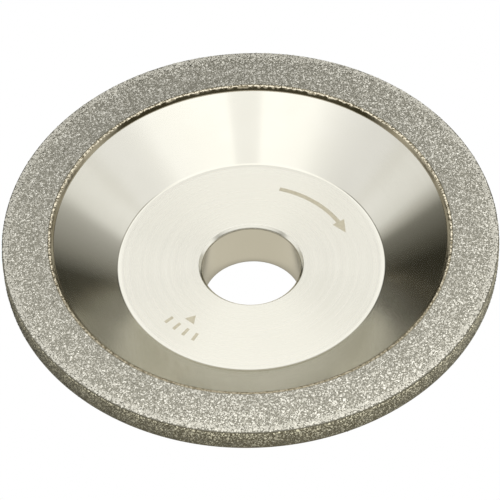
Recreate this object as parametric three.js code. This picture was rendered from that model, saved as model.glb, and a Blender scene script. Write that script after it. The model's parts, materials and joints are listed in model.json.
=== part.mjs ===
// Electroplated diamond grinding wheel, dish form, with the abrasive on its front face and its periphery.
//
// Lengths are millimetres. The origin lies on the bore axis in the back seat face, and +Z points out of the
// grinding face. Every piece is a body of revolution about +Z, and the coating pieces share the core's
// facets, so that the layers meet face to face without a gap.

import * as THREE from 'three';

// Driving dimensions
const WHEEL_DIAMETER = 100;
const WHEEL_HEIGHT = 22;
const BORE_DIAMETER = 20;
const BORE_CHAMFER = 0.7;
const HUB_THICKNESS = 11.9;
const HUB_FACE_DIAMETER = 54.4;
const HUB_FILLET_RADIUS = 0.6;
const GRINDING_FACE_WIDTH = 9.8;
const INNER_WALL_HEIGHT = 0.85;
const INNER_WALL_RUN = 0.6;
const PERIPHERY_HEIGHT = 5;
const BACK_CONE_ANGLE = THREE.MathUtils.degToRad(45);
const BACK_EDGE_CHAMFER = 0.6;
const NICKEL_THICKNESS = 0.15;
const GRAIN_STANDOFF = 0.15;
const BARE_NICKEL_BEAD = 0.35;

// Facets around the axis, and steps in each rounded edge
const SEGMENTS = 96;
const EDGE_STEPS = 4;

// Worked-out radii and heights
const wheelRadius = WHEEL_DIAMETER / 2;
const boreRadius = BORE_DIAMETER / 2;
const hubFaceRadius = HUB_FACE_DIAMETER / 2;
const faceInnerRadius = wheelRadius - GRINDING_FACE_WIDTH;
const coneTopRadius = faceInnerRadius - INNER_WALL_RUN;
const coneTopHeight = WHEEL_HEIGHT - INNER_WALL_HEIGHT;
const coatThickness = NICKEL_THICKNESS + GRAIN_STANDOFF;
const coreRadius = wheelRadius - coatThickness;
const landHeight = WHEEL_HEIGHT - coatThickness;
const nickelFaceHeight = landHeight + NICKEL_THICKNESS;
const coatBottomHeight = WHEEL_HEIGHT - PERIPHERY_HEIGHT;
const coneAngle = Math.atan2(coneTopHeight - HUB_THICKNESS, coneTopRadius - hubFaceRadius);
const backSeatRadius = coreRadius - coatBottomHeight / Math.tan(BACK_CONE_ANGLE);

// A point at an angle on a circle in the half plane of (radius from the axis, height)
function pointOnArc([centreRadius, centreHeight], radius, angle) {
  return [centreRadius + radius * Math.cos(angle), centreHeight + radius * Math.sin(angle)];
}

function arc(centre, radius, startAngle, endAngle, steps) {
  return Array.from({ length: steps + 1 }, (_, step) =>
    pointOnArc(centre, radius, THREE.MathUtils.lerp(startAngle, endAngle, step / steps)));
}

// Spins a closed outline of [radius, height] points, listed anticlockwise, about +Z
function turnedPiece(name, outline, material) {
  const closedOutline = [...outline, outline[0]].map(([radius, height]) => new THREE.Vector2(radius, height));
  const geometry = new THREE.LatheGeometry(closedOutline, SEGMENTS);
  geometry.rotateX(Math.PI / 2);
  const mesh = new THREE.Mesh(geometry, material);
  mesh.name = name;
  return mesh;
}

// The hollow corner where the flat hub face turns up into the front cone
function hubFillet() {
  const tangentLength = HUB_FILLET_RADIUS * Math.tan(coneAngle / 2);
  const centre = [hubFaceRadius - tangentLength, HUB_THICKNESS + HUB_FILLET_RADIUS];
  const straightDown = -Math.PI / 2;
  return arc(centre, HUB_FILLET_RADIUS, straightDown + coneAngle, straightDown, EDGE_STEPS);
}

// The steel body: back seat, 45 degree back cone, rim, rim land, inner wall, front cone, hub face and bore
function wheelCore() {
  const outline = [
    [boreRadius + BORE_CHAMFER, 0],
    [backSeatRadius - BACK_EDGE_CHAMFER, 0],
    pointOnArc([backSeatRadius, 0], BACK_EDGE_CHAMFER, BACK_CONE_ANGLE),
    [coreRadius, coatBottomHeight],
    [coreRadius, landHeight],
    [faceInnerRadius, landHeight],
    [coneTopRadius, coneTopHeight],
    ...hubFillet(),
    [boreRadius + BORE_CHAMFER, HUB_THICKNESS],
    [boreRadius, HUB_THICKNESS - BORE_CHAMFER],
    [boreRadius, BORE_CHAMFER],
  ];
  const steel = new THREE.MeshStandardMaterial({ color: 0xc4bfb0, roughness: 0.24, metalness: 1 });
  return turnedPiece('wheel_core', outline, steel);
}

// The coating wraps the core's outer edge at an even thickness, so its rounded edge is centred on that edge
const outerEdge = [coreRadius, landHeight];
const RIGHT_ANGLE = Math.PI / 2;
const MITRE_ANGLE = Math.PI / 4;

// The nickel deposit, one skin from the foot of the inner wall over the face and down the periphery
function nickelBond() {
  const outline = [
    [coreRadius, coatBottomHeight],
    [coreRadius + NICKEL_THICKNESS, coatBottomHeight],
    ...arc(outerEdge, NICKEL_THICKNESS, 0, RIGHT_ANGLE, EDGE_STEPS),
    [faceInnerRadius - NICKEL_THICKNESS / 2, nickelFaceHeight],
    [coneTopRadius, coneTopHeight],
    [faceInnerRadius, landHeight],
    outerEdge,
  ];
  const nickel = new THREE.MeshStandardMaterial({ color: 0x9c9684, roughness: 0.38, metalness: 1 });
  return turnedPiece('nickel_bond', outline, nickel);
}

// The standing height of the grains held on the front face, out to the middle of the rounded edge
function faceDiamondGrit() {
  const innerRadius = faceInnerRadius + BARE_NICKEL_BEAD;
  const outline = [
    [innerRadius, nickelFaceHeight],
    ...arc(outerEdge, NICKEL_THICKNESS, RIGHT_ANGLE, MITRE_ANGLE, EDGE_STEPS / 2),
    ...arc(outerEdge, coatThickness, MITRE_ANGLE, RIGHT_ANGLE, EDGE_STEPS / 2),
    [innerRadius + GRAIN_STANDOFF, WHEEL_HEIGHT],
  ];
  const grit = new THREE.MeshStandardMaterial({ color: 0xb0ab9c, roughness: 0.6, metalness: 0.5 });
  return turnedPiece('face_diamond_grit', outline, grit);
}

// The standing height of the grains held on the periphery, up to the middle of the rounded edge
function rimDiamondGrit() {
  const outline = [
    [coreRadius + NICKEL_THICKNESS, coatBottomHeight],
    [wheelRadius, coatBottomHeight],
    ...arc(outerEdge, coatThickness, 0, MITRE_ANGLE, EDGE_STEPS / 2),
    ...arc(outerEdge, NICKEL_THICKNESS, MITRE_ANGLE, 0, EDGE_STEPS / 2),
  ];
  const grit = new THREE.MeshStandardMaterial({ color: 0x8c8670, roughness: 0.6, metalness: 0.5 });
  return turnedPiece('rim_diamond_grit', outline, grit);
}

const grindingWheel = new THREE.Group();
grindingWheel.add(wheelCore(), nickelBond(), faceDiamondGrit(), rimDiamondGrit());

export default grindingWheel;
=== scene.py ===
"""Looks of the plated diamond grinding wheel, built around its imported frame.

Lengths are metres and angles are radians. The wheel lies on its back with its axis on +Z. Its pieces are
turned about that axis, so their shapes are written as outlines of (radius, height) points, and places around
the wheel as angles counted from +X towards +Y.
"""

import json
import math

import bmesh
import bpy
import numpy as np
from mathutils import Matrix, Quaternion, Vector


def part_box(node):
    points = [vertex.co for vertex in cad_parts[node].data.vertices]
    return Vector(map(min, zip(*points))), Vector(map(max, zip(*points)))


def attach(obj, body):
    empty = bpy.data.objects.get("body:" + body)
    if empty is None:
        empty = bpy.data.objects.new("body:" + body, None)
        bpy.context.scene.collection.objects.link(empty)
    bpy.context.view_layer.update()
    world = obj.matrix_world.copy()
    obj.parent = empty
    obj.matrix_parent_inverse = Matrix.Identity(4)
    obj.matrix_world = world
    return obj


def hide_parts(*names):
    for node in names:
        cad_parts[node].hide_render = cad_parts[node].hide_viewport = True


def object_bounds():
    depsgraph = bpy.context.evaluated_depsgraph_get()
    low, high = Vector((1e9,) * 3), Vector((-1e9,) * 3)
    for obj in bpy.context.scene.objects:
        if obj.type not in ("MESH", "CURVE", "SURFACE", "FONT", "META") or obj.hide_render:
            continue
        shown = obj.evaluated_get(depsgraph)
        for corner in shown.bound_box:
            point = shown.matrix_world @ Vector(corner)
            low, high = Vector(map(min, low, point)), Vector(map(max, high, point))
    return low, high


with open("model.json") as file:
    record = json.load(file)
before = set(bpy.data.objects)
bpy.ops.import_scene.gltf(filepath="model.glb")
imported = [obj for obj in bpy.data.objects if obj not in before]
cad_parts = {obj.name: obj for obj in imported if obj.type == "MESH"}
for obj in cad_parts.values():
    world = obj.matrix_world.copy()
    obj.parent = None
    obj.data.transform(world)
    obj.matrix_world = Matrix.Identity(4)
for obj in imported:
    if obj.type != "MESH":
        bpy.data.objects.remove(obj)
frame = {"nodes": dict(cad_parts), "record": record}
cad_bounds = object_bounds()

MM = 0.001
TOLERANCE = 0.001 * MM
FULL_TURN = 2 * math.pi


# ---------------------------------------------------------------- sizes, read from the frame

def rings(node):
    """(radius, height) of each ring of vertices that a CAD node has, from the axis outwards."""
    points = [v.co for v in frame["nodes"][node].data.vertices]
    return sorted({(round(math.hypot(point.x, point.y), 6), round(point.z, 6)) for point in points})


def radii_at(node, height):
    """Radii of the CAD node's rings at a height, from the axis outwards."""
    return [ring_radius for ring_radius, ring_height in rings(node) if abs(ring_height - height) < TOLERANCE]


hub_mount = next(m for m in frame["record"]["mounts"] if m["name"] == "hub_face")
core_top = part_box("wheel_core")[1]
nickel_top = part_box("nickel_bond")[1]
rim_grit_low, rim_grit_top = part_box("rim_diamond_grit")
face_grit_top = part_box("face_diamond_grit")[1]

SEAT_HEIGHT = cad_bounds[0][2]
HUB_HEIGHT = hub_mount["pos_m"][2]
LAND_HEIGHT = core_top.z
NICKEL_HEIGHT = nickel_top.z
FACE_HEIGHT = face_grit_top.z
COAT_BOTTOM = rim_grit_low.z
CORE_RADIUS = core_top.x
NICKEL_RADIUS = nickel_top.x
WHEEL_RADIUS = rim_grit_top.x
BORE_RADIUS = rings("wheel_core")[0][0]
CHAMFER_RADIUS, HUB_FLAT_RADIUS = radii_at("wheel_core", HUB_HEIGHT)
LAND_INNER_RADIUS = radii_at("wheel_core", LAND_HEIGHT)[0]
CONE_TOP_RADIUS, CONE_TOP_HEIGHT = rings("nickel_bond")[0]
CHAMFER = CHAMFER_RADIUS - BORE_RADIUS


def hub_corner_radius():
    """Where the front cone, carried on down past its fillet, meets the plane of the hub face."""
    on_fillet = [(radius, height) for radius, height in rings("wheel_core")
                 if HUB_FLAT_RADIUS < radius < CONE_TOP_RADIUS and HUB_HEIGHT < height < CONE_TOP_HEIGHT - MM]
    radius, height = max(on_fillet, key=lambda ring: ring[1])
    slope = (CONE_TOP_HEIGHT - height) / (CONE_TOP_RADIUS - radius)
    return radius - (height - HUB_HEIGHT) / slope


HUB_CORNER_RADIUS = hub_corner_radius()


# ---------------------------------------------------------------- node trees

def add_node(tree, kind, inputs=None, **settings):
    """Adds a node, sets it up, and links or sets each named input."""
    node = tree.nodes.new(kind)
    for name, value in settings.items():
        setattr(node, name, value)
    for key, value in (inputs or {}).items():
        if isinstance(value, bpy.types.NodeSocket):
            tree.links.new(value, node.inputs[key])
        else:
            node.inputs[key].default_value = value
    return node


def calculate(tree, operation, *values):
    """The output of a Math node."""
    return add_node(tree, "ShaderNodeMath", dict(enumerate(values)), operation=operation).outputs[0]


def remap(tree, value, from_low, from_high, to_low, to_high, smooth=True):
    """value mapped from one range to another, held at the ends."""
    node = add_node(tree, "ShaderNodeMapRange", {
        "Value": value,
        "From Min": from_low,
        "From Max": from_high,
        "To Min": to_low,
        "To Max": to_high,
    }, interpolation_type="SMOOTHSTEP" if smooth else "LINEAR")
    return node.outputs["Result"]


def step_up(tree, value, start, end):
    """0 up to a start and 1 from an end on, with a soft step between."""
    return remap(tree, value, start, end, 0.0, 1.0)


def step_down(tree, value, start, end):
    return remap(tree, value, start, end, 1.0, 0.0)


def colour_ramp(tree, factor, stops):
    """A colour ramp through (position, (r, g, b)) stops."""
    node = add_node(tree, "ShaderNodeValToRGB", {"Fac": factor})
    elements = node.color_ramp.elements
    while len(elements) < len(stops):
        elements.new(0.5)
    for element, (position, colour) in zip(elements, stops):
        element.position = position
        element.color = (*colour, 1)
    return node.outputs["Color"]


# The places of a Mix node's colours among its inputs, and of the blended colour among its outputs
MIX_COLOURS = (6, 7)
MIX_RESULT = 2


def mix_colours(tree, factor, first, second, blend="MIX"):
    """Two colours blended by a factor. Each is an (r, g, b) or an output."""
    inputs = {0: factor}
    for key, colour in zip(MIX_COLOURS, (first, second)):
        inputs[key] = colour if isinstance(colour, bpy.types.NodeSocket) else (*colour, 1)
    return add_node(tree, "ShaderNodeMix", inputs, data_type="RGBA", blend_type=blend).outputs[MIX_RESULT]


def distance_from_axis(tree, place):
    """The radius of a point, from the outputs of a Separate XYZ node."""
    squares = [calculate(tree, "POWER", place.outputs[axis], 2.0) for axis in "XY"]
    return calculate(tree, "SQRT", calculate(tree, "ADD", *squares))


def noise(tree, place, scale, detail=2.0, roughness=0.5, dimensions="3D"):
    """A noise from 0 to 1, which lies mostly between NOISE_LOW and NOISE_HIGH."""
    inputs = {"Scale": scale, "Detail": detail, "Roughness": roughness}
    inputs["W" if dimensions == "1D" else "Vector"] = place
    return add_node(tree, "ShaderNodeTexNoise", inputs, noise_dimensions=dimensions).outputs["Fac"]


NOISE_LOW, NOISE_HIGH = 0.3, 0.7


def spread_noise(tree, value, low=0.0, high=1.0):
    """A noise made to fill a range."""
    return remap(tree, value, NOISE_LOW, NOISE_HIGH, low, high)


# ---------------------------------------------------------------- mesh code

FACETS_AROUND = 512
EDGE_STEPS = 5


def rounded_outline(corners):
    """A closed outline through (radius, height, edge radius) corners, with an arc at each corner."""
    points = []
    for index, (radius, height, edge) in enumerate(corners):
        here = Vector((radius, height))
        if edge == 0:
            points.append(here)
            continue
        before = Vector(corners[index - 1][:2])
        after = Vector(corners[(index + 1) % len(corners)][:2])
        to_before, to_after = (before - here).normalized(), (after - here).normalized()
        half_angle = to_before.angle(to_after) / 2
        tangent_length = edge / math.tan(half_angle)
        centre = here + (to_before + to_after).normalized() * (edge / math.sin(half_angle))
        start = here + to_before * tangent_length - centre
        end = here + to_after * tangent_length - centre
        sweep = start.angle_signed(end)
        for step in range(EDGE_STEPS + 1):
            turn = Matrix.Rotation(-sweep * step / EDGE_STEPS, 2)
            points.append(centre + turn @ start)
    return points


def with_support_points(outline, distance):
    """Adds a point near both ends of each long stretch, so that smooth shading stays flat between them."""
    points = []
    for index, point in enumerate(outline):
        following = outline[(index + 1) % len(outline)]
        stretch = following - point
        points.append(point)
        if stretch.length > 4 * distance:
            points.append(point + stretch.normalized() * distance)
            points.append(following - stretch.normalized() * distance)
    return points


def mesh_object(name, vertices, faces, material, smooth=True):
    mesh = bpy.data.meshes.new(name)
    mesh.from_pydata([tuple(v) for v in vertices], [], faces)
    mesh.materials.append(material)
    mesh.polygons.foreach_set("use_smooth", [smooth] * len(mesh.polygons))
    mesh.update()
    piece = bpy.data.objects.new(name, mesh)
    bpy.context.scene.collection.objects.link(piece)
    return piece


def turned_piece(name, outline, material, facets=FACETS_AROUND):
    """Spins a closed outline, listed anticlockwise, about the axis."""
    count = len(outline)
    vertices = []
    for ring in range(facets):
        angle = FULL_TURN * ring / facets
        cosine, sine = math.cos(angle), math.sin(angle)
        vertices += [(point[0] * cosine, point[0] * sine, point[1]) for point in outline]
    faces = []
    for ring in range(facets):
        here, after = ring * count, (ring + 1) % facets * count
        for index in range(count):
            following = (index + 1) % count
            faces.append((here + index, after + index, after + following, here + following))
    return mesh_object(name, vertices, faces, material)


def finish_piece(piece, slot, *nodes):
    """The piece rides on the wheel's one body and stands for CAD nodes; its slot is not used."""
    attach(piece, "root")
    if nodes:
        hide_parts(*nodes)
    return piece


# ---------------------------------------------------------------- materials

def new_material(name):
    material = bpy.data.materials.new(name)
    material.use_nodes = True
    material.node_tree.nodes.clear()
    return material, material.node_tree


def finish_material(material, shader_output):
    tree = material.node_tree
    output = add_node(tree, "ShaderNodeOutputMaterial")
    tree.links.new(shader_output, output.inputs["Surface"])
    return material


CONE_TONES = (0.70, 0.69, 0.64), (0.68, 0.67, 0.615)
HUB_TONE = (0.78, 0.77, 0.715)
CONE_ROUGHNESS = (0.105, 0.135)
ROUGHNESS_DRIFT = 0.01
HUB_ADDED_ROUGHNESS = 0.155
CONE_MARK_STRENGTH, HUB_MARK_STRENGTH = 0.05, 0.003


def turned_steel():
    """Finely turned steel. Its tool marks run round the axis, so its highlights fan out across them."""
    material, tree = new_material("turned_steel")
    position = add_node(tree, "ShaderNodeTexCoord").outputs["Object"]
    place = add_node(tree, "ShaderNodeSeparateXYZ", {"Vector": position})
    radius = distance_from_axis(tree, place)
    across = calculate(tree, "ADD", radius, place.outputs["Z"])
    inside_hub = step_down(tree, radius, HUB_FLAT_RADIUS - MM, HUB_FLAT_RADIUS)
    at_hub_height = step_up(tree, place.outputs["Z"], HUB_HEIGHT - 0.15 * MM, HUB_HEIGHT - 0.02 * MM)
    on_hub = calculate(tree, "MULTIPLY", inside_hub, at_hub_height)
    fine_marks = noise(tree, across, 9000.0, 3.0, 0.6, "1D")
    broad_marks = noise(tree, across, 900.0, 2.0, 0.5, "1D")
    cloud = noise(tree, position, 60.0, 3.0, 0.55)
    marks = calculate(tree, "MULTIPLY_ADD", fine_marks, 0.6, calculate(tree, "MULTIPLY", broad_marks, 0.4))
    roughness = calculate(tree, "ADD", spread_noise(tree, marks, *CONE_ROUGHNESS),
                          spread_noise(tree, cloud, -ROUGHNESS_DRIFT, ROUGHNESS_DRIFT))
    roughness = calculate(tree, "MULTIPLY_ADD", on_hub, HUB_ADDED_ROUGHNESS, roughness)
    colour = mix_colours(tree, spread_noise(tree, cloud), *CONE_TONES)
    colour = mix_colours(tree, on_hub, colour, HUB_TONE)
    strength_change = HUB_MARK_STRENGTH - CONE_MARK_STRENGTH
    strength = calculate(tree, "MULTIPLY_ADD", on_hub, strength_change, CONE_MARK_STRENGTH)
    bump = add_node(tree, "ShaderNodeBump", {"Strength": strength, "Distance": 0.02 * MM, "Height": marks})
    tangent = add_node(tree, "ShaderNodeTangent", direction_type="RADIAL", axis="Z")
    shader = add_node(tree, "ShaderNodeBsdfPrincipled", {
        "Base Color": colour,
        "Metallic": 1.0,
        "Roughness": roughness,
        "Anisotropic": 0.90,
        "Anisotropic Rotation": 0.25,
        "Normal": bump.outputs["Normal"],
        "Tangent": tangent.outputs["Tangent"],
    })
    return finish_material(material, shader.outputs["BSDF"])


# ---------------------------------------------------------------- the steel body

EDGE_BREAK = 0.06 * MM
BORE_EDGE = 0.70 * MM
CONE_TOP_EDGE = 0.18 * MM
HUB_FILLET = 0.6 * MM
BACK_EDGE = 0.6 * MM
SUPPORT_DISTANCE = 0.12 * MM


def wheel_core_outline():
    bore_low, bore_high = SEAT_HEIGHT + CHAMFER, HUB_HEIGHT - CHAMFER
    back_corner = CORE_RADIUS - (COAT_BOTTOM - SEAT_HEIGHT)
    corners = [
        (CHAMFER_RADIUS, SEAT_HEIGHT, EDGE_BREAK),
        (back_corner, SEAT_HEIGHT, BACK_EDGE),
        (CORE_RADIUS, COAT_BOTTOM, EDGE_BREAK),
        (CORE_RADIUS, LAND_HEIGHT, EDGE_BREAK),
        (LAND_INNER_RADIUS, LAND_HEIGHT, EDGE_BREAK),
        (CONE_TOP_RADIUS, CONE_TOP_HEIGHT, CONE_TOP_EDGE),
        (HUB_CORNER_RADIUS, HUB_HEIGHT, HUB_FILLET),
        (CHAMFER_RADIUS, HUB_HEIGHT, EDGE_BREAK),
        (BORE_RADIUS, bore_high, BORE_EDGE),
        (BORE_RADIUS, bore_low, BORE_EDGE),
    ]
    return with_support_points(rounded_outline(corners), SUPPORT_DISTANCE)


core = turned_piece("turned_core", wheel_core_outline(), turned_steel())
finish_piece(core, "turned_steel", "wheel_core")


# ---------------------------------------------------------------- marks on the hub face

MARK_HEIGHT = 0.02 * MM
ARROW_RADIUS, ARROW_WIDTH = 21.0 * MM, 0.9 * MM
ARROW_HEAD_WIDTH, ARROW_HEAD_LENGTH = 2.8 * MM, 3.2 * MM
ARROW_TIP, ARROW_TAIL = math.radians(21), math.radians(72)
ARROW_STEPS = 24
TICKS_AT = math.radians(228)
TICK_COUNT, TICK_SPACING, TICK_WIDTH = 4, 2.2 * MM, 0.7 * MM
TICK_RADII = (20.7 * MM, 22.7 * MM)
POINTER_RADII, POINTER_WIDTH = (17.2 * MM, 19.2 * MM), 2.4 * MM


def dull_mark():
    """A dull brown-grey mark burnt into the steel."""
    material, tree = new_material("dull_mark")
    position = add_node(tree, "ShaderNodeTexCoord").outputs["Object"]
    mottle = spread_noise(tree, noise(tree, position, 3000.0))
    shader = add_node(tree, "ShaderNodeBsdfPrincipled", {
        "Base Color": mix_colours(tree, mottle, (0.33, 0.305, 0.235), (0.41, 0.385, 0.31)),
        "Metallic": 0.4,
        "Roughness": 0.55,
    })
    return finish_material(material, shader.outputs["BSDF"])


def flat_mark(name, outline, material):
    """A thin closed slab in the hub face, over an outline of (radius, angle) points, listed anticlockwise."""
    count = len(outline)
    places = [(radius * math.cos(angle), radius * math.sin(angle)) for radius, angle in outline]
    vertices = [(x, y, HUB_HEIGHT + rise) for rise in (-MARK_HEIGHT, MARK_HEIGHT) for x, y in places]
    faces = [tuple(reversed(range(count))), tuple(range(count, 2 * count))]
    faces += [(i, (i + 1) % count, (i + 1) % count + count, i + count) for i in range(count)]
    finish_piece(mesh_object(name, vertices, faces, material, smooth=False), "turned_steel")


def rotation_arrow():
    """A bent arrow that shows which way the wheel turns."""
    neck = ARROW_TIP + ARROW_HEAD_LENGTH / ARROW_RADIUS
    bend = [neck + (ARROW_TAIL - neck) * step / ARROW_STEPS for step in range(ARROW_STEPS + 1)]
    return [
        (ARROW_RADIUS, ARROW_TIP),
        (ARROW_RADIUS + ARROW_HEAD_WIDTH / 2, neck),
        *[(ARROW_RADIUS + ARROW_WIDTH / 2, angle) for angle in bend],
        *[(ARROW_RADIUS - ARROW_WIDTH / 2, angle) for angle in reversed(bend)],
        (ARROW_RADIUS - ARROW_HEAD_WIDTH / 2, neck),
    ]


def index_pointer(angle):
    """A triangle that points at the axis."""
    tip, base = POINTER_RADII
    half = POINTER_WIDTH / 2 / base
    return [(tip, angle), (base, angle - half), (base, angle + half)]


def index_tick(angle):
    """A short radial bar."""
    inner, outer = TICK_RADII
    half = TICK_WIDTH / 2 / outer
    return [(inner, angle - half), (outer, angle - half), (outer, angle + half), (inner, angle + half)]


mark_material = dull_mark()
flat_mark("rotation_arrow", rotation_arrow(), mark_material)
flat_mark("index_pointer", index_pointer(TICKS_AT), mark_material)
for tick in range(TICK_COUNT):
    tick_angle = TICKS_AT + (tick - (TICK_COUNT - 1) / 2) * TICK_SPACING / TICK_RADII[0]
    flat_mark(f"index_tick_{tick + 1}", index_tick(tick_angle), mark_material)


# ---------------------------------------------------------------- the nickel skin

EDGE_ROUNDING = 0.30 * MM
LIP_HEIGHT = FACE_HEIGHT - 0.01 * MM
LIP_INNER_RADIUS, LIP_OUTER_RADIUS = LAND_INNER_RADIUS, LAND_INNER_RADIUS + 0.5 * MM
LIP_ROUNDING = 0.11 * MM
LIP_LUMP_LENGTH, LIP_LUMP_HEIGHTS = 0.5 * MM, (0.4, 1.0)
SKIN_FACETS_AROUND = 1536
SKIN_CORNER = 0.02 * MM
WALL_FILLET = 0.75 * MM
# Painted shade: the inner wall and the bed between the grains get dark nickel tones, and the periphery's bed
# is darkest.
WALL_SHADE_TONES = (0.25, 0.22, 0.155), (0.34, 0.31, 0.235)
FACE_BED_SHADE_TONE, RIM_BED_SHADE_TONE = (0.22, 0.213, 0.18), (0.12, 0.113, 0.085)
# Painted glints on the lip, and painted shade between them.
LIP_GLINT_TONE, LIP_SHADE_TONE = (0.80, 0.74, 0.60), (0.16, 0.135, 0.085)


def plated_nickel():
    """Electroplated nickel, darkened as painted shade between the grains and on the inner wall, with painted
    glints on the lip.
    """
    material, tree = new_material("plated_nickel")
    position = add_node(tree, "ShaderNodeTexCoord").outputs["Object"]
    place = add_node(tree, "ShaderNodeSeparateXYZ", {"Vector": position})
    radius = distance_from_axis(tree, place)
    lumps = noise(tree, position, 5200.0, 3.0, 0.6)
    patches = noise(tree, position, 2600.0, 2.0, 0.6)
    cloud = noise(tree, position, 90.0, 3.0, 0.5)
    # Painted shade on the inner wall and on the bed between the grains.
    wall = mix_colours(tree, spread_noise(tree, cloud), *WALL_SHADE_TONES)
    on_face = step_up(tree, place.outputs["Z"], NICKEL_HEIGHT - 0.5 * MM, NICKEL_HEIGHT)
    bed = mix_colours(tree, on_face, RIM_BED_SHADE_TONE, FACE_BED_SHADE_TONE)
    among_grains = step_up(tree, radius, LIP_OUTER_RADIUS - 0.1 * MM, LIP_OUTER_RADIUS)
    dull = mix_colours(tree, among_grains, wall, bed)
    # Painted glints on the lip, in patches, fewer towards the near side.
    far_side_glint = remap(tree, place.outputs["Y"], -0.7 * WHEEL_RADIUS, 0.2 * WHEEL_RADIUS, 0.3, 1.0)
    brightening = calculate(tree, "MULTIPLY", far_side_glint, step_up(tree, patches, 0.44, 0.54))
    lip = mix_colours(tree, brightening, LIP_SHADE_TONE, LIP_GLINT_TONE)
    inside_grains = calculate(tree, "SUBTRACT", 1.0, among_grains)
    above_wall = step_up(tree, place.outputs["Z"], NICKEL_HEIGHT - 0.05 * MM, NICKEL_HEIGHT)
    colour = mix_colours(tree, calculate(tree, "MULTIPLY", inside_grains, above_wall), dull, lip)
    bump = add_node(tree, "ShaderNodeBump", {"Strength": 0.12, "Distance": 0.03 * MM, "Height": lumps})
    shader = add_node(tree, "ShaderNodeBsdfPrincipled", {
        "Base Color": colour,
        "Metallic": 1.0,
        "Roughness": spread_noise(tree, lumps, 0.08, 0.14),
        "Normal": bump.outputs["Normal"],
    })
    return finish_material(material, shader.outputs["BSDF"])


def nickel_skin_outline():
    """The skin from the foot of the inner wall over its lip and the face and down the periphery."""
    cone_slope = Vector((CONE_TOP_RADIUS - HUB_CORNER_RADIUS, CONE_TOP_HEIGHT - HUB_HEIGHT)).normalized()
    foot = Vector((CONE_TOP_RADIUS, CONE_TOP_HEIGHT))
    bend = cone_slope.angle(Vector((LIP_INNER_RADIUS, LIP_HEIGHT)) - foot)
    toe = foot - cone_slope * WALL_FILLET * math.tan(bend / 2)
    corners = [
        (CORE_RADIUS, COAT_BOTTOM, 0),
        (NICKEL_RADIUS, COAT_BOTTOM, SKIN_CORNER),
        (NICKEL_RADIUS, NICKEL_HEIGHT, EDGE_ROUNDING - (WHEEL_RADIUS - NICKEL_RADIUS)),
        (LIP_OUTER_RADIUS, NICKEL_HEIGHT, SKIN_CORNER),
        (LIP_OUTER_RADIUS - LIP_ROUNDING, LIP_HEIGHT, LIP_ROUNDING),
        (LIP_INNER_RADIUS, LIP_HEIGHT, LIP_ROUNDING),
        (*foot, WALL_FILLET),
        (*toe, 0),
        (CONE_TOP_RADIUS + 0.1 * MM, CONE_TOP_HEIGHT, 0),
        (LAND_INNER_RADIUS, LAND_HEIGHT, 0),
        (CORE_RADIUS, LAND_HEIGHT, 0),
    ]
    return with_support_points(rounded_outline(corners), SUPPORT_DISTANCE)


def make_lip_uneven(piece, random):
    """Lowers the lip here and there along its length, as plating builds up unevenly on an edge."""
    heights = random.uniform(*LIP_LUMP_HEIGHTS, round(FULL_TURN * LIP_INNER_RADIUS / LIP_LUMP_LENGTH))
    for vertex in piece.data.vertices:
        rise = vertex.co.z - NICKEL_HEIGHT
        if rise > TOLERANCE and math.hypot(vertex.co.x, vertex.co.y) < LIP_OUTER_RADIUS:
            place = math.atan2(vertex.co.y, vertex.co.x) / FULL_TURN * len(heights)
            lump = math.floor(place)
            share = place - lump
            scale = heights[lump] * (1 - share) + heights[(lump + 1) % len(heights)] * share
            vertex.co.z = NICKEL_HEIGHT + rise * scale


random = np.random.default_rng(7)
nickel = turned_piece("nickel_skin", nickel_skin_outline(), plated_nickel(), SKIN_FACETS_AROUND)
make_lip_uneven(nickel, random)
finish_piece(nickel, "plated_nickel", "nickel_bond")


# ---------------------------------------------------------------- the diamond grains

GRAIN_SHAPES = 32
GRAIN_CORNERS = 14
CORNER_REACH = (0.85, 1.1)
GRAIN_SIZE_SPREAD = (0.75, 1.15)
GRAIN_JITTER = (-0.30, 0.30)
ROW_SPACING = 0.87
FACE_GRAIN_PITCH, FACE_GRAIN_SIZE = 0.42 * MM, 0.62 * MM
RIM_GRAIN_PITCH, RIM_GRAIN_SIZE = 0.50 * MM, 0.72 * MM
GRAIN_SINK = (0.004 * MM, 0.07 * MM)
DRESSED_WIDTH = 1.3 * MM
DRESSED_SINK = (-0.18 * MM, -0.10 * MM)
FACE_EDGE_GAP, RIM_EDGE_GAP = 0.30 * MM, 0.18 * MM
FACE_LIP_GAP, RIM_FOOT_GAP = 0.12 * FACE_GRAIN_SIZE, 0.4 * RIM_GRAIN_SIZE
FACE_GRAIN_TONES = (0.38, 0.37, 0.325), (0.74, 0.73, 0.68)
# The periphery's grains take darker tones than the face's, as painted shade on the same grit.
RIM_SHADED_GRAIN_TONES = (0.165, 0.158, 0.123), (0.42, 0.405, 0.325)
FACE_SECTORS = 6
RIM_SECTORS = 4
HALF_ROUNDING_LENGTH = EDGE_ROUNDING * math.pi / 4
# The side of the face that is darkened as painted shade.
SHADED_SIDE_DIRECTION = (-0.5, 0.87)
EDGE_CENTRE = (WHEEL_RADIUS - EDGE_ROUNDING, FACE_HEIGHT - EDGE_ROUNDING)


def grain_shapes(random):
    """Closed blocky crystals about the origin, each as (corners, triangles), about 1 in half width."""
    shapes = []
    for _ in range(GRAIN_SHAPES):
        directions = random.normal(size=(GRAIN_CORNERS, 3))
        directions /= np.linalg.norm(directions, axis=1, keepdims=True)
        corners = directions * random.uniform(*CORNER_REACH, size=(GRAIN_CORNERS, 1))
        mesh = bmesh.new()
        for corner in corners:
            mesh.verts.new(corner)
        hull = bmesh.ops.convex_hull(mesh, input=mesh.verts)
        inside = {v for v in hull["geom_interior"] if isinstance(v, bmesh.types.BMVert)}
        bmesh.ops.delete(mesh, geom=list(inside), context="VERTS")
        bmesh.ops.recalc_face_normals(mesh, faces=mesh.faces)
        mesh.verts.index_update()
        points = np.array([v.co for v in mesh.verts])
        triangles = np.array([[v.index for v in face.verts] for face in mesh.faces])
        mesh.free()
        shapes.append((points, triangles))
    return shapes


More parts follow.
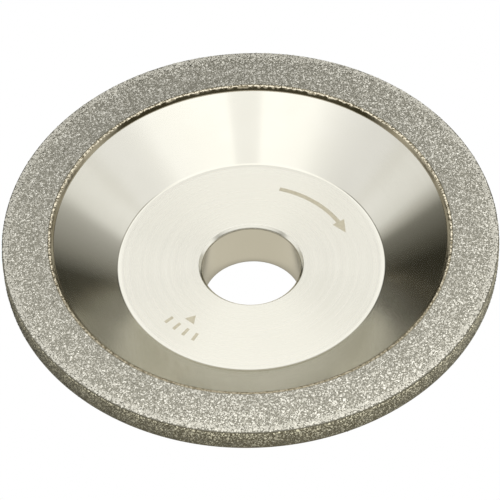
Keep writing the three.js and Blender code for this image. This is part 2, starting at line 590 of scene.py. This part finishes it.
def random_turns(random, count):
    """count random rotation matrices."""
    q = random.normal(size=(count, 4))
    w, x, y, z = (q / np.linalg.norm(q, axis=1, keepdims=True)).T
    return np.stack([
        1 - 2 * (y * y + z * z), 2 * (x * y - z * w), 2 * (x * z + y * w),
        2 * (x * y + z * w), 1 - 2 * (x * x + z * z), 2 * (y * z - x * w),
        2 * (x * z - y * w), 2 * (y * z + x * w), 1 - 2 * (x * x + y * y),
    ], axis=1).reshape(count, 3, 3)


def scattered(random, start, end, pitch):
    """Jittered staggered points round the wheel, from start to end along the coat's outline."""
    rows = round((end - start) / (pitch * ROW_SPACING))
    columns = round(FULL_TURN * WHEEL_RADIUS / pitch)
    row, column = np.meshgrid(np.arange(rows), np.arange(columns), indexing="ij")
    angle = (column + 0.5 * (row % 2) + random.uniform(*GRAIN_JITTER, row.shape)) / columns * FULL_TURN
    along = start + (row + 0.5 + random.uniform(*GRAIN_JITTER, row.shape)) / rows * (end - start)
    return angle.ravel() % FULL_TURN, along.ravel()


def coat_surface(angle, along):
    """Points on the coat's envelope and the outward directions there.

    along is the distance on the coat's outline from the middle of its rounded edge, negative over the face
    and positive down the periphery.
    """
    tilt = np.clip(math.pi / 4 - along / EDGE_ROUNDING, 0, math.pi / 2)
    beyond = np.maximum(np.abs(along) - HALF_ROUNDING_LENGTH, 0)
    radius = EDGE_CENTRE[0] + EDGE_ROUNDING * np.cos(tilt) - np.where(along < 0, beyond, 0)
    height = EDGE_CENTRE[1] + EDGE_ROUNDING * np.sin(tilt) - np.where(along > 0, beyond, 0)
    places = np.stack([radius * np.cos(angle), radius * np.sin(angle), height], axis=1)
    level = np.cos(tilt)
    outward = np.stack([level * np.cos(angle), level * np.sin(angle), np.sin(tilt)], axis=1)
    return places, outward


def hold_inside_coat(points):
    """Flattens whatever stands out of the coat's envelope."""
    radius = np.hypot(points[:, 0], points[:, 1])
    out, up = np.maximum(radius - EDGE_CENTRE[0], 0), np.maximum(points[:, 2] - EDGE_CENTRE[1], 0)
    share = np.minimum(1, EDGE_ROUNDING / np.maximum(np.hypot(out, up), EDGE_ROUNDING / 2))
    points[:, :2] *= ((radius - out * (1 - share)) / radius)[:, None]
    points[:, 2] = np.maximum(points[:, 2] - up * (1 - share), COAT_BOTTOM)


def place_grains(name, node, slot, sectors, random, shapes, angle, along, size, material):
    """Sinks a crystal at each point until its tip is at the envelope or below. Dressed ones are cut flat."""
    count = len(angle)
    places, outward = coat_surface(angle, along)
    dressed = (along < 0) & (along > -HALF_ROUNDING_LENGTH - DRESSED_WIDTH)
    sink = np.where(dressed, random.uniform(*DRESSED_SINK, count), random.uniform(*GRAIN_SINK, count))
    choice = random.integers(0, GRAIN_SHAPES, count)
    turns = random_turns(random, count)
    half_widths = size / 2 * random.uniform(*GRAIN_SIZE_SPREAD, count)
    sector_of = (angle / FULL_TURN * sectors).astype(int)
    for sector in range(sectors):
        vertices, faces, first = [], [], 0
        for index in np.flatnonzero(sector_of == sector):
            points, triangles = shapes[choice[index]]
            points = points @ turns[index].T * half_widths[index]
            reach = (points @ outward[index]).max()
            vertices.append(points + places[index] - outward[index] * (reach + sink[index]))
            faces.append(triangles + first)
            first += len(points)
        vertices = np.concatenate(vertices)
        hold_inside_coat(vertices)
        faces = np.concatenate(faces)
        piece_name = f"{name}_{sector + 1}"
        piece = mesh_object(piece_name, vertices.tolist(), faces.tolist(), material, smooth=False)
        finish_piece(piece, slot, node)


def face_tone_spread(tree, place):
    """How far the grains' own tones differ: little on the outermost band, where they are dressed flat."""
    radius = distance_from_axis(tree, place)
    return remap(tree, radius, WHEEL_RADIUS - 2.4 * MM, WHEEL_RADIUS - 1.3 * MM, 1.0, 0.1)


def diamond_grit(name, tones, shade, tone_spread=None):
    """Diamond grains frosted with nickel, each with a tone of its own between two."""
    material, tree = new_material(name)
    position = add_node(tree, "ShaderNodeTexCoord").outputs["Object"]
    place = add_node(tree, "ShaderNodeSeparateXYZ", {"Vector": position})
    own = add_node(tree, "ShaderNodeNewGeometry").outputs["Random Per Island"]
    cloud = noise(tree, position, 900.0, 2.0, 0.5)
    speckle = noise(tree, position, 14000.0, 2.0, 0.5)
    own_tone = own
    if tone_spread:
        from_middle = calculate(tree, "SUBTRACT", own, 0.5)
        own_tone = calculate(tree, "MULTIPLY_ADD", from_middle, tone_spread(tree, place), 0.5)
    tone = calculate(tree, "MULTIPLY_ADD", own_tone, 0.85, calculate(tree, "MULTIPLY", cloud, 0.3))
    colour = mix_colours(tree, step_up(tree, tone, 0.25, 0.95), *tones)
    # The shade by place is partly painted: painted shade on one side of the face, and on the periphery
    # painted shade below and a painted highlight at the top.
    colour = mix_colours(tree, 1.0, colour, shade(tree, place), blend="MULTIPLY")
    bump = add_node(tree, "ShaderNodeBump", {"Strength": 0.15, "Distance": 0.01 * MM, "Height": speckle})
    shader = add_node(tree, "ShaderNodeBsdfPrincipled", {
        "Base Color": colour,
        "Metallic": 0.55,
        "Roughness": remap(tree, own, 0.0, 1.0, 0.32, 0.50, smooth=False),
        "Normal": bump.outputs["Normal"],
    })
    return finish_material(material, shader.outputs["BSDF"])


def face_shade(tree, place):
    """The face is paler towards its outer edge and on a band at that edge. Inside that band, painted shade
    darkens the far-left side.
    """
    radius = distance_from_axis(tree, place)
    brightening = remap(tree, radius, LAND_INNER_RADIUS, WHEEL_RADIUS, 0.69, 0.87, smooth=False)
    # Painted shade darkens the far-left side of the face.
    towards = calculate(tree, "MULTIPLY_ADD", place.outputs["Y"], SHADED_SIDE_DIRECTION[1],
                        calculate(tree, "MULTIPLY", place.outputs["X"], SHADED_SIDE_DIRECTION[0]))
    painted_side_shade = remap(tree, towards, 0.45 * WHEEL_RADIUS, 0.8 * WHEEL_RADIUS, 1.0, 0.87)
    edge = remap(tree, radius, WHEEL_RADIUS - 5 * MM, WHEEL_RADIUS - 2 * MM, 0.5, 0.83)
    return calculate(tree, "MAXIMUM", calculate(tree, "MULTIPLY", brightening, painted_side_shade), edge)


def rim_shade(tree, place):
    """Painted shade darkens the periphery towards its bottom, and a painted highlight lightens its top edge.
    """
    height = place.outputs["Z"]
    bottom_shade = remap(tree, height, COAT_BOTTOM, FACE_HEIGHT, 0.36, 1.08, smooth=False)
    top_highlight = remap(tree, height, FACE_HEIGHT - 1.1 * MM, FACE_HEIGHT - 0.4 * MM, 0.0, 0.4)
    return calculate(tree, "ADD", bottom_shade, top_highlight)


shapes = grain_shapes(random)

face_start = LIP_OUTER_RADIUS + FACE_LIP_GAP - EDGE_CENTRE[0] - HALF_ROUNDING_LENGTH
face_places = scattered(random, face_start, -FACE_EDGE_GAP, FACE_GRAIN_PITCH)
face_grit = diamond_grit("face_grit", FACE_GRAIN_TONES, face_shade, face_tone_spread)
place_grains("face_grains", "face_diamond_grit", "face_grit", FACE_SECTORS, random, shapes, *face_places,
             FACE_GRAIN_SIZE, face_grit)

rim_start = HALF_ROUNDING_LENGTH + RIM_EDGE_GAP
rim_end = HALF_ROUNDING_LENGTH + EDGE_CENTRE[1] - COAT_BOTTOM - RIM_FOOT_GAP
rim_places = scattered(random, rim_start, rim_end, RIM_GRAIN_PITCH)
rim_grit = diamond_grit("rim_grit", RIM_SHADED_GRAIN_TONES, rim_shade)
place_grains("rim_grains", "rim_diamond_grit", "rim_grit", RIM_SECTORS, random, shapes, *rim_places,
             RIM_GRAIN_SIZE, rim_grit)


# ---------------------------------------------------------------- the floor

FLOOR_HALF_WIDTH = 3.0
FLOOR_GAP = 0.01 * MM


def pale_floor():
    """White to the camera. In reflections it is matt paper, and within the bore it carries a painted glow of
    light.
    """
    material, tree = new_material("pale_floor")
    position = add_node(tree, "ShaderNodeTexCoord").outputs["Object"]
    distance = add_node(tree, "ShaderNodeVectorMath", {0: position}, operation="LENGTH").outputs["Value"]
    in_bore = calculate(tree, "LESS_THAN", distance, BORE_RADIUS)
    fade = remap(tree, distance, 0.8 * BORE_RADIUS, BORE_RADIUS, 1.0, 0.6)
    # A painted pool of light on the floor within the bore.
    painted_bore_light = add_node(tree, "ShaderNodeEmission", {"Color": (0.73, 0.68, 0.56, 1), "Strength": fade})
    paper = add_node(tree, "ShaderNodeBsdfDiffuse", {"Color": (0.32, 0.31, 0.27, 1)})
    white = add_node(tree, "ShaderNodeEmission", {"Color": (1, 1, 1, 1), "Strength": 1.0})
    reflected = add_node(tree, "ShaderNodeMixShader", {0: in_bore, 1: paper.outputs[0], 2: painted_bore_light.outputs[0]})
    is_camera = add_node(tree, "ShaderNodeLightPath").outputs["Is Camera Ray"]
    mix = add_node(tree, "ShaderNodeMixShader", {0: is_camera, 1: reflected.outputs[0], 2: white.outputs[0]})
    return finish_material(material, mix.outputs[0])


def floor():
    half = FLOOR_HALF_WIDTH
    corners = [(x, y, SEAT_HEIGHT) for x, y in ((-half, -half), (half, -half), (half, half), (-half, half))]
    piece = mesh_object("floor", corners, [(0, 1, 2, 3)], pale_floor(), smooth=False)
    piece.location.z = -FLOOR_GAP


# ---------------------------------------------------------------- the light

# The tent's wall, from left over straight back to right: (degrees right of straight back, brightness, warmth)
WALL_STOPS = [
    (-90, 1.20, 0.1), (-78, 1.12, 0.1), (-66, 0.95, 0.15), (-60, 0.52, 0.3), (-57, 0.24, 0.4),
    (-47, 0.10, 0.6), (-41, 0.035, 0.9), (-23, 0.03, 1.0),
    (-19, 0.47, 0.6), (0, 0.54, 0.6), (14, 0.61, 0.6), (24, 0.57, 0.6),
    (28, 0.04, 0.9), (36, 0.04, 0.9), (40, 0.06, 0.7),
    (48, 0.28, 0.4), (57, 0.45, 0.3), (62, 0.58, 0.25), (67, 0.98, 0.15), (78, 1.17, 0.1), (90, 1.25, 0.1),
]
# The sky in front and the strip overhead, low to high: (degrees above the horizon, brightness, warmth)
FRONT_STOPS = [
    (0, 0.03, 1.0), (18, 0.12, 0.9), (29, 0.16, 0.7), (34, 1.30, 0.1), (45, 1.30, 0.1), (52, 1.30, 0.05),
    (70, 1.50, 0.05),
]
STRIP_STOPS = [
    (35, 0.30, 0.3), (42, 0.52, 0.2), (46, 0.80, 0.1), (48, 1.20, 0.1), (50, 1.40, 0.1), (55, 1.50, 0.1),
    (62, 1.56, 0.1), (90, 1.52, 0.1),
]

# Where one part of the tent gives way to the next, as two values of the direction's x, y or z
STRIP_LEFT_X, STRIP_RIGHT_X = (-0.64, -0.40), (0.54, 0.68)
SHOULDER_X = (0.24, 0.32)
GAP_INNER_X, GAP_OUTER_X = (0.47, 0.54), (0.66, 0.74)
LEFT_TO_RIGHT_X = (-0.3, 0.3)
BEHIND_WHEEL_Y = (0.0, 0.12)
SIDE_TO_BACK_Y = (0.2, 0.4)
FRONT_TO_BACK_Y = (-0.45, -0.1)
HORIZON_Z = (0.0, 0.22)
WALL_TO_TOP_Z = (0.52, 0.66)
FRONT_TO_TOP_Z = (0.70, 0.84)

# Tones of the parts of the top. Those in pairs are for its left and its right
BESIDE_STRIP_TONES = (1.03, 1.02, 0.99), (1.12, 1.11, 1.08)
GAP_TONES = (0.05, 0.045, 0.03), (0.28, 0.27, 0.22)
SHOULDER_TONE, SHOULDER_SHARE = (0.85, 0.83, 0.76), 0.8

# A soft dim patch high in front, which the far side of the cone mirrors as a darker ray. Its edge lies
# between two cosines of the angle from its middle
PATCH_DIRECTION = (0, -0.49, 0.872)
PATCH_EDGE = (0.9925, 0.9965)
PATCH_DIMMING = 0.82


def tinted(level, warmth):
    """A grey of some brightness, from neutral at a warmth of 0 to yellow-brown at 1."""
    return level, level * (1 - 0.08 * warmth), level * (1 - 0.43 * warmth)


def around_ramp(tree, x, y, stops):
    """A ramp round the horizon through (degrees right of straight back, brightness, warmth) stops."""
    turn = calculate(tree, "ARCTAN2", x, y)
    position = remap(tree, turn, -math.pi / 2, math.pi / 2, 0.0, 1.0, smooth=False)
    return colour_ramp(tree, position, [(0.5 + degrees / 180, tinted(level, warmth))
                                        for degrees, level, warmth in stops])


def height_ramp(tree, z, stops):
    """A ramp over the elevation through (degrees above the horizon, brightness, warmth) stops."""
    return colour_ramp(tree, z, [(math.sin(math.radians(degrees)), tinted(level, warmth))
                                 for degrees, level, warmth in stops])


def tent_wall(tree, x, y, z):
    """The wall round the wheel. At its sides it rises from a dark horizon."""
    wall = around_ramp(tree, x, y, WALL_STOPS)
    side = mix_colours(tree, step_up(tree, z, *HORIZON_Z), tinted(0.05, 1.0), wall)
    return mix_colours(tree, step_up(tree, y, *SIDE_TO_BACK_Y), side, wall)


def tent_top(tree, x, y, z):
    """A bright strip overhead, dimmer beside it, with dark gaps between it and the side walls at the back."""
    left_edge, right_edge = step_up(tree, x, *STRIP_LEFT_X), step_down(tree, x, *STRIP_RIGHT_X)
    in_strip = calculate(tree, "MULTIPLY", left_edge, right_edge)
    left_to_right = step_up(tree, x, *LEFT_TO_RIGHT_X)
    beside = mix_colours(tree, left_to_right, *BESIDE_STRIP_TONES)
    top = mix_colours(tree, in_strip, beside, height_ramp(tree, z, STRIP_STOPS))

    across = calculate(tree, "ABSOLUTE", x)
    behind = step_up(tree, y, *BEHIND_WHEEL_Y)
    on_shoulder = calculate(tree, "MULTIPLY", remap(tree, across, *SHOULDER_X, 0.0, SHOULDER_SHARE), behind)
    top = mix_colours(tree, on_shoulder, top, SHOULDER_TONE)

    inner_edge, outer_edge = step_up(tree, across, *GAP_INNER_X), step_down(tree, across, *GAP_OUTER_X)
    in_gap = calculate(tree, "MULTIPLY", calculate(tree, "MULTIPLY", inner_edge, outer_edge), behind)
    return mix_colours(tree, in_gap, top, mix_colours(tree, left_to_right, *GAP_TONES))


def with_dim_patch(tree, direction, sky):
    directions = {0: direction, 1: PATCH_DIRECTION}
    nearness = add_node(tree, "ShaderNodeVectorMath", directions, operation="DOT_PRODUCT").outputs["Value"]
    dimming = remap(tree, nearness, *PATCH_EDGE, 1.0, PATCH_DIMMING)
    return mix_colours(tree, 1.0, sky, dimming, blend="MULTIPLY")


def studio_light():
    """A tent round the wheel, bright overhead and in front and darker behind. The camera sees plain white."""
    world = bpy.data.worlds.new("studio")
    bpy.context.scene.world = world
    world.use_nodes = True
    tree = world.node_tree
    tree.nodes.clear()
    direction = add_node(tree, "ShaderNodeTexCoord").outputs["Generated"]
    place = add_node(tree, "ShaderNodeSeparateXYZ", {"Vector": direction})
    x, y, z = (place.outputs[axis] for axis in "XYZ")
    top = tent_top(tree, x, y, z)
    back = mix_colours(tree, step_up(tree, z, *WALL_TO_TOP_Z), tent_wall(tree, x, y, z), top)
    front = height_ramp(tree, z, FRONT_STOPS)
    round_about = mix_colours(tree, step_down(tree, y, *FRONT_TO_BACK_Y), back, front)
    sky = mix_colours(tree, step_up(tree, z, *FRONT_TO_TOP_Z), round_about, top)
    sky = with_dim_patch(tree, direction, sky)
    is_camera = add_node(tree, "ShaderNodeLightPath").outputs["Is Camera Ray"]
    seen = mix_colours(tree, is_camera, sky, (1, 1, 1))
    background = add_node(tree, "ShaderNodeBackground", {"Color": seen, "Strength": 1.0})
    output = add_node(tree, "ShaderNodeOutputWorld")
    tree.links.new(background.outputs[0], output.inputs["Surface"])


# A small lamp at the front right fills in the matt grains. Glossy reflections leave it out
FILL_PLACE = (0.045, -0.14, 0.13)
FILL_SIZE = 0.16
FILL_POWER = 0.70


def fill_lamp():
    data = bpy.data.lights.new("fill_lamp", "AREA")
    data.shape, data.size, data.energy = "DISK", FILL_SIZE, FILL_POWER
    data.color = (1.0, 0.98, 0.93)
    piece = bpy.data.objects.new("fill_lamp", data)
    bpy.context.scene.collection.objects.link(piece)
    piece.location = FILL_PLACE
    piece.rotation_euler = (-piece.location).to_track_quat("-Z", "Y").to_euler()
    piece.visible_glossy = False


# ---------------------------------------------------------------- the camera

# It stands off from the middle of the grinding face and aims a little below it. The lens and the sensor are
# in millimetres
CAMERA_ELEVATION = math.radians(49.73)
CAMERA_DISTANCE = 0.5906
CAMERA_LENS = 211.8
CAMERA_SENSOR = 36.0
CAMERA_ROLL = math.radians(-2.19)
AIM_BELOW_TARGET = math.radians(0.348)


def camera():
    data = bpy.data.cameras.new("camera")
    data.lens, data.sensor_width = CAMERA_LENS, CAMERA_SENSOR
    data.clip_start, data.clip_end = 0.01, 20.0
    piece = bpy.data.objects.new("camera", data)
    bpy.context.scene.collection.objects.link(piece)
    away = Vector((0, -math.cos(CAMERA_ELEVATION), math.sin(CAMERA_ELEVATION)))
    piece.location = Vector((0, 0, FACE_HEIGHT)) + away * CAMERA_DISTANCE
    piece.rotation_mode = "QUATERNION"
    level = (-away).to_track_quat("-Z", "Y")
    piece.rotation_quaternion = (level @ Quaternion((0, 0, 1), CAMERA_ROLL)
                                 @ Quaternion((1, 0, 0), -AIM_BELOW_TARGET))
    bpy.context.scene.camera = piece


floor()
studio_light()
fill_lamp()
camera()
bpy.context.scene.view_settings.view_transform = "Standard"
